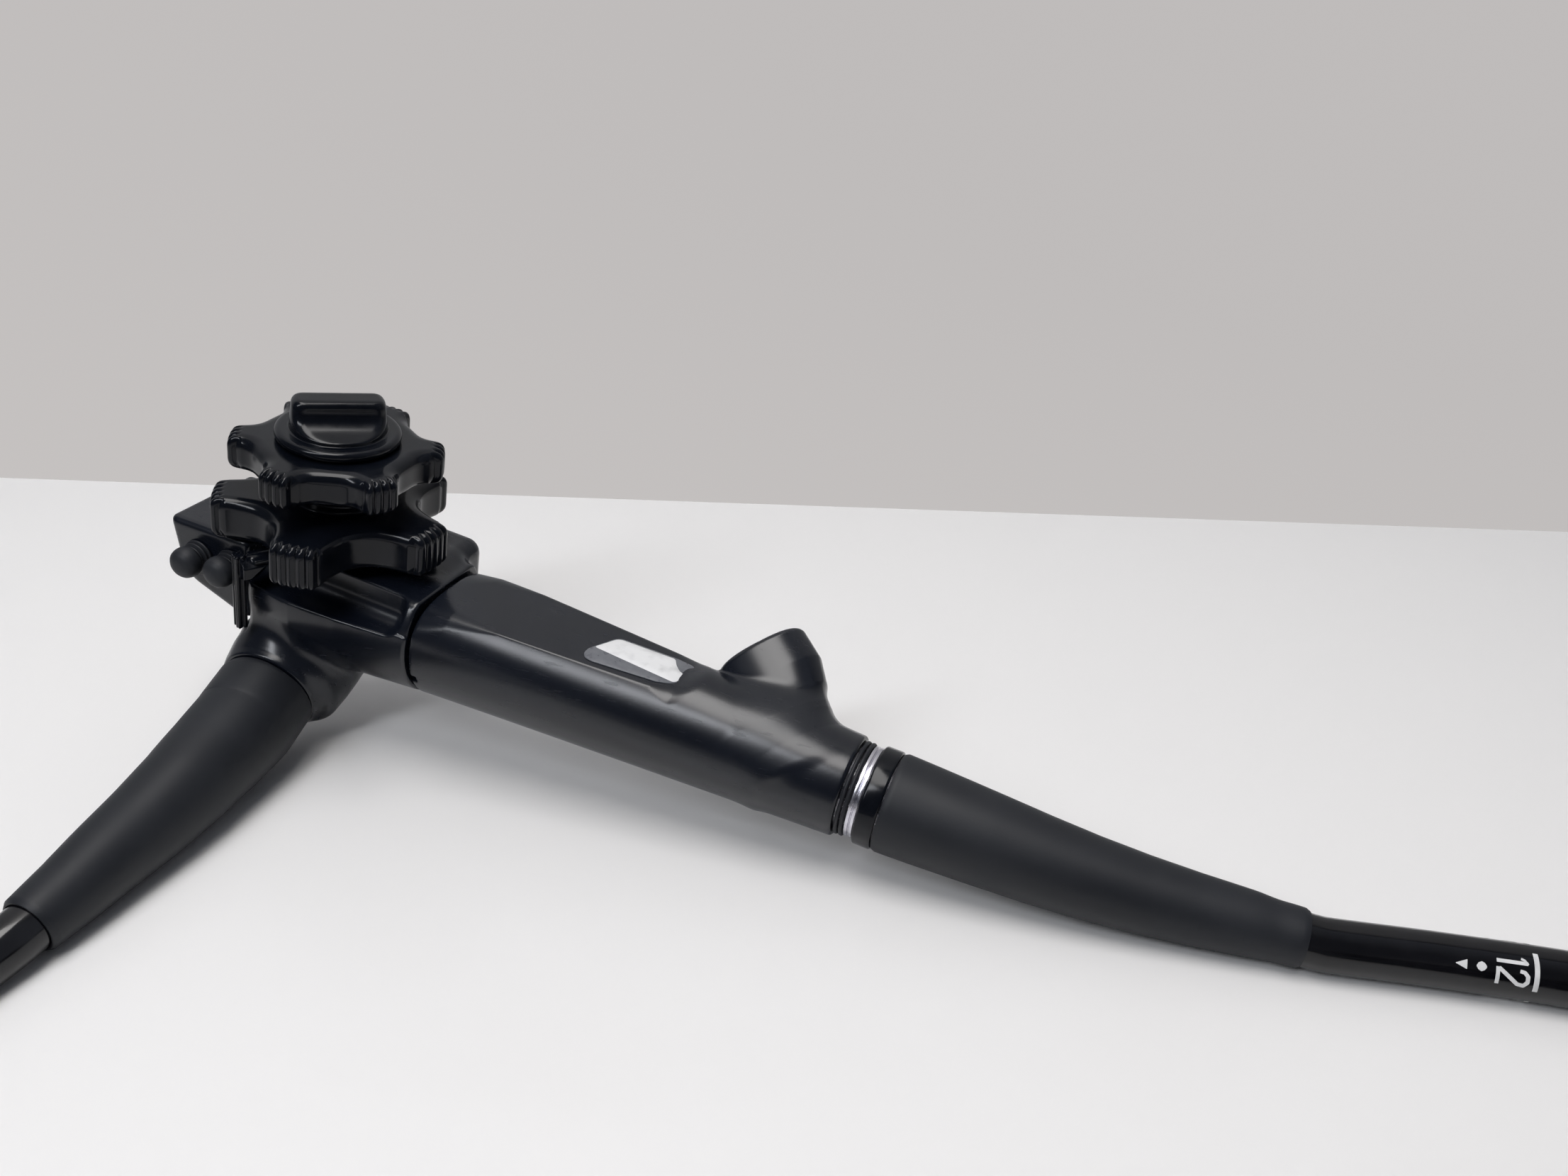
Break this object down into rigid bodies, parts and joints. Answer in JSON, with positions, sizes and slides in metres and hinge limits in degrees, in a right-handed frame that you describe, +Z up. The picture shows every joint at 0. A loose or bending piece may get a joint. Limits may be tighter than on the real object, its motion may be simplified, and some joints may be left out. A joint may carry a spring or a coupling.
{
  "type": "flexible endoscope",
  "caption": "Flexible endoscope: grip with stacked angulation wheels, levers, remote switches and instrument port, coiled insertion tube with bending tip, coiled umbilical with connector.",
  "frame": {"origin": "centre of the control section's footprint on the bench", "axes": "+X from the control head towards the insertion tube, +Y to the valve side, +Z up from the bench; the control wheels' axis leans 8.5 degrees from +Z towards +X"},
  "size_m": [0.5239, 0.2375, 0.1001],
  "materials": {
    "shell_plastic": "satin near-black moulded plastic",
    "knob_plastic": "glossy black moulded plastic",
    "soft_rubber": "matte charcoal rubber",
    "tube_polymer": "gloss black tube skin",
    "bright_metal": "polished steel",
    "label_stock": "bare pale plate"
  },
  "bodies": {
    "control_section": {"grip_shell": "shell_plastic", "label_plate": "label_stock", "port_nozzle": "bright_metal", "channel_tube": "tube_polymer", "end_sleeve": "bright_metal", "seal_ring_1": "soft_rubber", "seal_ring_2": "soft_rubber", "bright_band": "bright_metal", "collar": "knob_plastic", "insertion_boot": "soft_rubber", "insertion_tube": "tube_polymer", "insertion_coil": "tube_polymer", "insertion_tube_end": "tube_polymer", "bend_base": "bright_metal", "head_housing": "shell_plastic", "air_water_cylinder": "bright_metal", "suction_cylinder": "bright_metal", "switch_box": "shell_plastic", "switch_boot_1": "soft_rubber", "switch_boot_2": "soft_rubber", "switch_boot_3": "soft_rubber", "switch_boot_4": "soft_rubber", "centre_post": "bright_metal", "chassis_plate": "bright_metal", "rl_wire": "bright_metal", "ud_wire": "bright_metal", "light_guide": "tube_polymer", "umbilical_boot": "soft_rubber", "umbilical_cable": "tube_polymer", "umbilical_coil": "tube_polymer", "umbilical_cable_end": "tube_polymer", "connector_boot": "soft_rubber", "connector_housing": "shell_plastic", "light_guide_prong": "bright_metal", "air_pipe": "bright_metal", "contact_plug": "bright_metal", "suction_nipple": "bright_metal", "water_port": "bright_metal"},
    "ud_control": {"ud_wheel": "knob_plastic", "ud_shaft": "bright_metal"},
    "rl_control": {"rl_wheel": "knob_plastic", "rl_shaft": "bright_metal"},
    "rl_brake": {"rl_brake_knob": "knob_plastic"},
    "ud_brake": {"ud_brake_lever": "knob_plastic"},
    "elevator_control": {"elevator_lever": "knob_plastic"},
    "switch_1": {"remote_switch_1": "soft_rubber"},
    "switch_2": {"remote_switch_2": "soft_rubber"},
    "switch_3": {"remote_switch_3": "soft_rubber"},
    "switch_4": {"remote_switch_4": "soft_rubber"},
    "bend_1": {"vertebra_1": "bright_metal"},
    "bend_2": {"vertebra_2": "bright_metal"},
    "bend_3": {"vertebra_3": "bright_metal"},
    "bend_4": {"vertebra_4": "bright_metal"},
    "bend_5": {"vertebra_5": "bright_metal"},
    "bend_6": {"vertebra_6": "bright_metal"},
    "bend_7": {"vertebra_7": "bright_metal"},
    "tip": {"distal_tip": "knob_plastic"},
    "tip_elevator": {"elevator": "bright_metal"}
  },
  "joints": [
    {"name": "ud_wheel_turn", "type": "hinge", "parent": "control_section", "child": "ud_control", "pos_m": [-0.11108, 0.03947, 0.06476], "axis": [0.1478, 0, 0.989], "range_deg": [-150, 150]},
    {"name": "rl_wheel_turn", "type": "hinge", "parent": "control_section", "child": "rl_control", "pos_m": [-0.10871, 0.03947, 0.08058], "axis": [0.1478, 0, 0.989], "range_deg": [-120, 120]},
    {"name": "rl_brake_turn", "type": "hinge", "parent": "control_section", "child": "rl_brake", "pos_m": [-0.10738, 0.03947, 0.08948], "axis": [0.1478, 0, 0.989], "range_deg": [0, 75]},
    {"name": "ud_brake_turn", "type": "hinge", "parent": "control_section", "child": "ud_brake", "pos_m": [-0.11211, 0.03947, 0.05783], "axis": [0.1478, 0, 0.989], "range_deg": [-32, 0]},
    {"name": "elevator_turn", "type": "hinge", "parent": "control_section", "child": "elevator_control", "pos_m": [-0.11226, 0.03947, 0.05685], "axis": [0.1478, 0, 0.989], "range_deg": [0, 42]},
    {"name": "switch_1_press", "type": "slide", "parent": "control_section", "child": "switch_1", "axis": [0, 1, 0], "range_m": [0, 0.0012], "stiffness_N_per_m": 500, "springref_m": -0.0004},
    {"name": "switch_2_press", "type": "slide", "parent": "control_section", "child": "switch_2", "axis": [0, 1, 0], "range_m": [0, 0.0012], "stiffness_N_per_m": 500, "springref_m": -0.0004},
    {"name": "switch_3_press", "type": "slide", "parent": "control_section", "child": "switch_3", "axis": [0, -1, 0], "range_m": [0, 0.0012], "stiffness_N_per_m": 500, "springref_m": -0.0004},
    {"name": "switch_4_press", "type": "slide", "parent": "control_section", "child": "switch_4", "axis": [0, -1, 0], "range_m": [0, 0.0012], "stiffness_N_per_m": 500, "springref_m": -0.0004},
    {"name": "ud_bend_1", "type": "hinge", "parent": "control_section", "child": "bend_1", "pos_m": [0.18467, -0.14453, 0.00645], "axis": [0, 0, 1], "range_deg": [-30, 30]},
    {"name": "rl_bend_1", "type": "hinge", "parent": "bend_1", "child": "bend_2", "pos_m": [0.17567, -0.14453, 0.00645], "axis": [0, 1, 0], "range_deg": [-22.5, 22.5]},
    {"name": "ud_bend_2", "type": "hinge", "parent": "bend_2", "child": "bend_3", "pos_m": [0.16667, -0.14453, 0.00645], "axis": [0, 0, 1], "range_deg": [-30, 30]},
    {"name": "rl_bend_2", "type": "hinge", "parent": "bend_3", "child": "bend_4", "pos_m": [0.15767, -0.14453, 0.00645], "axis": [0, 1, 0], "range_deg": [-22.5, 22.5]},
    {"name": "ud_bend_3", "type": "hinge", "parent": "bend_4", "child": "bend_5", "pos_m": [0.14867, -0.14453, 0.00645], "axis": [0, 0, 1], "range_deg": [-30, 30]},
    {"name": "rl_bend_3", "type": "hinge", "parent": "bend_5", "child": "bend_6", "pos_m": [0.13967, -0.14453, 0.00645], "axis": [0, 1, 0], "range_deg": [-22.5, 22.5]},
    {"name": "ud_bend_4", "type": "hinge", "parent": "bend_6", "child": "bend_7", "pos_m": [0.13067, -0.14453, 0.00645], "axis": [0, 0, 1], "range_deg": [-30, 30]},
    {"name": "rl_bend_4", "type": "hinge", "parent": "bend_7", "child": "tip", "pos_m": [0.12167, -0.14453, 0.00645], "axis": [0, 1, 0], "range_deg": [-22.5, 22.5]},
    {"name": "elevator_lift", "type": "hinge", "parent": "tip", "child": "tip_elevator", "pos_m": [0.10747, -0.14453, 0.0053], "axis": [0, 1, 0], "range_deg": [0, 31.5]}
  ],
  "couplings": [
    {"joint": "ud_bend_1", "follows": "ud_wheel_turn", "ratio": 0.2},
    {"joint": "rl_bend_1", "follows": "rl_wheel_turn", "ratio": 0.1875},
    {"joint": "ud_bend_2", "follows": "ud_wheel_turn", "ratio": 0.2},
    {"joint": "rl_bend_2", "follows": "rl_wheel_turn", "ratio": 0.1875},
    {"joint": "ud_bend_3", "follows": "ud_wheel_turn", "ratio": 0.2},
    {"joint": "rl_bend_3", "follows": "rl_wheel_turn", "ratio": 0.1875},
    {"joint": "ud_bend_4", "follows": "ud_wheel_turn", "ratio": 0.2},
    {"joint": "rl_bend_4", "follows": "rl_wheel_turn", "ratio": 0.1875},
    {"joint": "elevator_lift", "follows": "elevator_turn", "ratio": 0.75}
  ]
}
